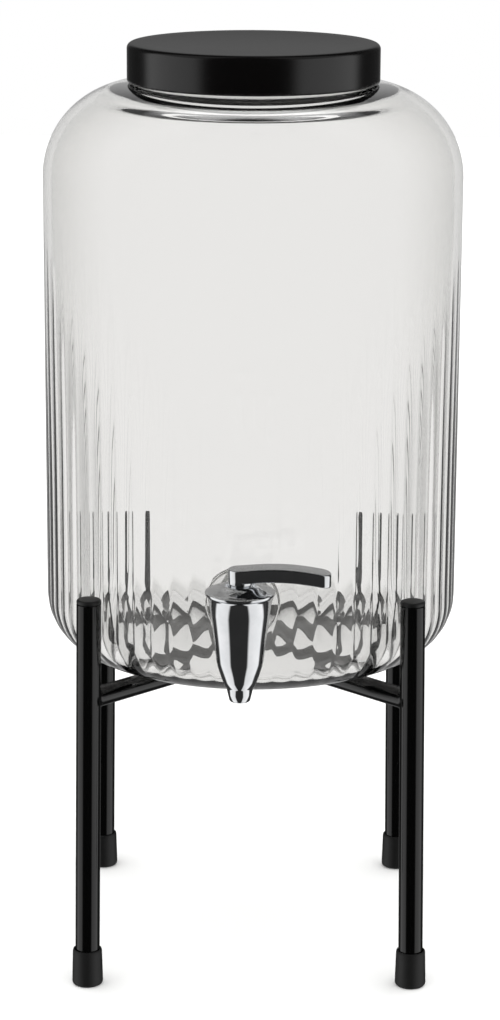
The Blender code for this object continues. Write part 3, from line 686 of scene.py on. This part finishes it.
def makeBrace(node, startCorner, endCorner, height, powder):
    # a rod whose ends lie on the round wall they are welded to, with the weld's fillet
    points = []
    for corner in (startCorner, endCorner):
        if corner is None:
            points.append(Vector((jarAxis.x, jarAxis.y, height)))
        else:
            start, along = legLine(corner)
            points.append(start + along * ((height - start.z) / along.z))
    length = (points[1] - points[0]).length / mm
    radius, weld = stand["braceRadius"], stand["weld"]
    walls = (stand["braceRadius"] if startCorner is None else stand["legRadius"], stand["legRadius"])
    fillet = [(radius + weld * (1 - math.sin(math.radians(lean))),
               weld * stand["weldRise"] * (1 - math.cos(math.radians(lean))))
              for lean in (0, 20, 40, 60, 90)]
    outline = [(0, 0)] + fillet + [(radius, length * share) for share in (0.2, 0.4, 0.6, 0.8)]
    outline += [(across, length - up) for across, up in reversed(fillet)] + [(0, length)]
    form = spinForm(outline, stand["segments"])
    for vert in form.verts:
        # each end is pushed back to its wall's surface
        fromStart, fromEnd = vert.co.z, length * mm - vert.co.z
        for near, wall, sign in ((fromStart, walls[0], 1), (fromEnd, walls[1], -1)):
            if near < 3 * mm:
                sideways = min(abs(vert.co.x) / mm, wall * 0.98)
                bow = math.sqrt(wall**2 - sideways**2) - stand["weldOverlap"]
                vert.co.z += sign * bow * mm
    along = (points[1] - points[0]).normalized()
    across = Vector((0, 0, 1)).cross(along).normalized()
    turn = Matrix((across, along.cross(across), along)).transposed().to_4x4()
    name = capitalised(node)
    makePiece(name[0].lower() + name[1:], form, powder, "stand", [node], 40,
              Matrix.Translation(points[0]) @ turn)


# Tap

tap = {
    "nozzleDrop": 39.4,
    "rimRadius": 16.4,
    "rimHeight": 12.0,
    "outlet": 3.6,
    "chamber": 9.0,
    "chamberFloor": -13.0,
    "outletTaper": 4.0,
    "reach": 25.0,
    "gap": 0.3,
    "segments": 96,
    # radius, and height above the nozzle's end
    "bodyOutside": [
        (4.5, 0.0), (4.9, 0.4), (5.6, 3.4), (6.3, 6.4), (6.6, 7.0), (7.2, 7.8), (8.2, 10.2),
        (9.6, 14.2), (10.6, 17.4), (11.0, 19.6), (11.2, 21.8), (11.9, 28.0), (12.7, 34.2),
        (13.9, 43.0), (15.0, 50.2)],
    "bodyLip": [(1.0, 0.6), (0.8, 0.25), (1.1, 0.0)],  # in from the rim, and below it
    "bonnetBore": 12.3,
    "bonnetSeat": 6.0,
    # radius, and height above the bonnet's edge
    "bonnetCone": [
        (15.9, 0.0), (16.3, 0.25), (16.4, 0.7), (16.3, 1.2), (15.8, 1.5), (15.0, 1.8), (13.4, 2.2),
        (11.9, 2.7), (10.5, 3.2), (9.3, 3.8), (8.3, 4.4), (7.6, 4.6), (7.0, 4.4), (6.4, 3.0),
        (5.3, 2.8)],
    "gasket": 2.6,
    # radius, and distance in front of the flange's back
    "shankFront": [
        (9.5, 4.5), (10.2, 3.4), (12.7, 3.0), (13.3, 2.6), (13.5, 2.2), (13.5, 0.0), (8.0, 0.0)],
    "shankStart": 9.6,
    "shankEnd": 45.0,
    "shankBore": 4.5,
    "leverLength": 42.0,
    "leverWidth": 11.6,
    "leverThickness": 6.4,
    "leverArch": 1.4,
    "leverDroop": 1.8,
    "leverEndRound": 4.5,
    "leverEdge": 0.9,
    "leverCuts": 30,
    "hubRadius": 5.78,
    "hubFoot": 15.6,
}


def makeTap(chrome):
    nozzle, rim, rimTop = -tap["nozzleDrop"], tap["rimRadius"], tap["rimHeight"]
    outside = [(radius, nozzle + up) for radius, up in tap["bodyOutside"]]
    outside += [(rim - inward, rimTop - down) for inward, down in tap["bodyLip"]]
    inside = [
        (tap["bonnetBore"], rimTop), (tap["bonnetBore"], tap["bonnetSeat"]),
        (tap["chamber"], tap["bonnetSeat"]), (tap["chamber"], tap["chamberFloor"]),
        (tap["outlet"], tap["chamberFloor"] - tap["outletTaper"]), (tap["outlet"], nozzle)]
    body = spinForm(outside + inside, tap["segments"])
    flangeBack, bore = tap["reach"] - tap["gasket"], tap["shankBore"]
    shankFront, shankEnd = tap["shankFront"], tap["shankEnd"]
    shank = spinForm(
        [(bore, tap["shankStart"]), (shankFront[0][0], tap["shankStart"])]
        + [(radius, flangeBack - ahead) for radius, ahead in shankFront]
        + [(8.0, shankEnd - 0.6), (7.2, shankEnd), (bore, shankEnd)], tap["segments"])
    lay = Vector((0, 1, 0)).to_track_quat("Z", "X").to_matrix().to_4x4()
    bmesh.ops.transform(shank, matrix=lay, verts=shank.verts)
    body = cutOrJoin(body, shank, "UNION")
    makePiece("tapBody", body, chrome, "jar", ["tap_body"], 32, atTap())

    edge, foot = rimTop + tap["gap"], tap["bonnetSeat"] + tap["gap"]
    boss = tap["bonnetBore"] - tap["gap"]
    cone = spinForm(
        [(tap["bonnetCone"][-1][0], foot), (boss, foot), (boss, edge)]
        + [(radius, edge + up) for radius, up in tap["bonnetCone"]], tap["segments"])
    makePiece("tapBonnet", cone, chrome, "jar", ["tap_bonnet"], 32, atTap())
    print("tap body made")


def makeLever(chrome):
    # a bar from a cube: rounded hub end, softened edges, then arched
    bottom = (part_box("tap_lever")[0].z - tapAxis.z) / mm
    reach, width, thick = tap["leverLength"], tap["leverWidth"], tap["leverThickness"]
    form = bmesh.new()
    bmesh.ops.create_cube(form, size=1.0)
    bmesh.ops.scale(form, vec=((reach + width / 2) * mm, width * mm, thick * mm), verts=form.verts)
    bmesh.ops.translate(form, vec=((reach - width / 2) / 2 * mm, 0, (bottom + thick / 2) * mm),
                        verts=form.verts)
    for atHub, rounding, steps in ((True, width / 2 - 0.02, 12), (False, tap["leverEndRound"], 6)):
        posts = [edge for edge in form.edges
                 if abs(edge.verts[0].co.z - edge.verts[1].co.z) > mm
                 and all((vert.co.x < 0.001) == atHub for vert in edge.verts)]
        bmesh.ops.bevel(form, geom=posts, offset=rounding * mm, segments=steps, profile=0.5,
                        affect="EDGES", material=-1)
    rims = [edge for edge in form.edges
            if abs(edge.verts[0].co.z - edge.verts[1].co.z) < 1e-6
            and len(edge.link_faces) == 2 and edge.calc_face_angle() > 1]
    bmesh.ops.bevel(form, geom=rims, offset=tap["leverEdge"] * mm, segments=4, profile=0.5,
                    affect="EDGES", material=-1)
    for step in range(1, tap["leverCuts"]):
        bmesh.ops.bisect_plane(
            form, geom=form.verts[:] + form.edges[:] + form.faces[:],
            plane_co=(reach * mm * step / tap["leverCuts"], 0, 0), plane_no=(1, 0, 0))
    for vert in form.verts:
        share = max(0, vert.co.x / (reach * mm))
        vert.co.z += (tap["leverArch"] * math.sin(math.pi * share) - tap["leverDroop"] * share**2) * mm
    # the hub is a round post that stands down into the bonnet's collar
    hub, foot = tap["hubRadius"], tap["hubFoot"]
    crown = bottom + thick - 1.0
    post = spinForm([(0, foot), (hub - 0.4, foot), (hub, foot + 0.4), (hub, crown - 0.2),
                     (hub - 0.6, crown), (0, crown)], tap["segments"])
    form = cutOrJoin(form, post, "UNION")
    makePiece("tapLever", form, chrome, "tap_valve", ["tap_lever"], 40, atTap())
    print("lever made")


def finishNodes(finishes):
    # the small fittings keep their own shape and get the finish of the real ones
    for node, material in finishes.items():
        for slot in frame["nodes"][node].material_slots:
            slot.material = material


makeStudio()
glass = pressedGlass()
powder = coatedSteel("gloss_black_powder_coat", ("#010101", "#020202"), 0.14, 0.8, 0.012)
lacquer = coatedSteel("satin_black_stoved_lacquer", ("#020101", "#030202"), 0.22, 0.8, 0.04)
chrome = polishedChrome()
blackPlastic = mouldedPolymer("black_moulded_polypropylene", ("#0a0a0a", "#0e0e0e"), 0.45, 0.4)
blackRubber = mouldedPolymer("black_moulded_rubber", ("#070707", "#0b0b0b"), 0.6, 0.5)
whitePlastic = mouldedPolymer("white_moulded_acetal", ("#e3e3e0", "#eaeae8"), 0.38, 0.4)
whiteSilicone = mouldedPolymer("white_silicone_rubber", ("#dededb", "#e6e6e3"), 0.5, 0.4)
print("materials made")

makeJar(glass)
makeLid(lacquer)
makeStand(powder, blackPlastic, blackRubber)
makeTap(chrome)
makeLever(chrome)
finishNodes({
    "lid_insert": blackPlastic,
    "lid_seal": whiteSilicone,
    "tap_gasket_outer": whiteSilicone,
    "tap_gasket_inner": whiteSilicone,
    "tap_washer": whitePlastic,
    "tap_nut": whitePlastic,
    "tap_plug": whitePlastic,
    "plug_o_ring_lower": blackRubber,
    "plug_o_ring_upper": blackRubber,
    "lever_pin": chrome,
})
